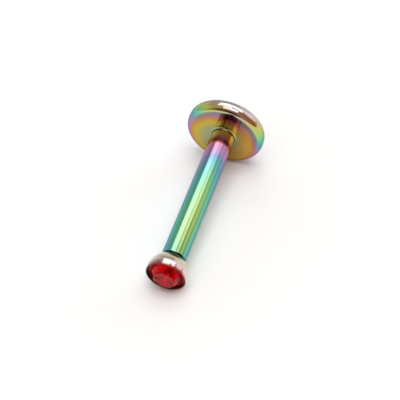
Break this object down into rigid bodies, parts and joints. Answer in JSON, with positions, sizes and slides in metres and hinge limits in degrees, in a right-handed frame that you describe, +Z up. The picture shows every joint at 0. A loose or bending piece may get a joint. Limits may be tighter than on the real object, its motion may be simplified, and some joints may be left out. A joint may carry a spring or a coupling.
{
  "type": "labret stud",
  "caption": "Straight labret stud with a flat round disc back and a small cup holding a round faceted red stone, in mirror-polished rainbow-coated steel.",
  "frame": {"origin": "on the surface that the stud lies on, under the middle of its box", "axes": "+Z up, the post runs along Y and slopes down a little towards the stone at -Y, with the disc at +Y"},
  "size_m": [0.004, 0.0102, 0.004],
  "materials": {
    "rainbow_steel": "mirror-polished steel with an interference coating that runs from gold and pink at the disc through blue to green",
    "cup_steel": "mirror-polished steel with a faint rose tint",
    "red_stone": "clear deep red, brilliant cut, polished"
  },
  "bodies": {
    "root": {"labret_post": "rainbow_steel", "gem_setting": "cup_steel", "gem_stone": "red_stone"}
  },
  "joints": []
}
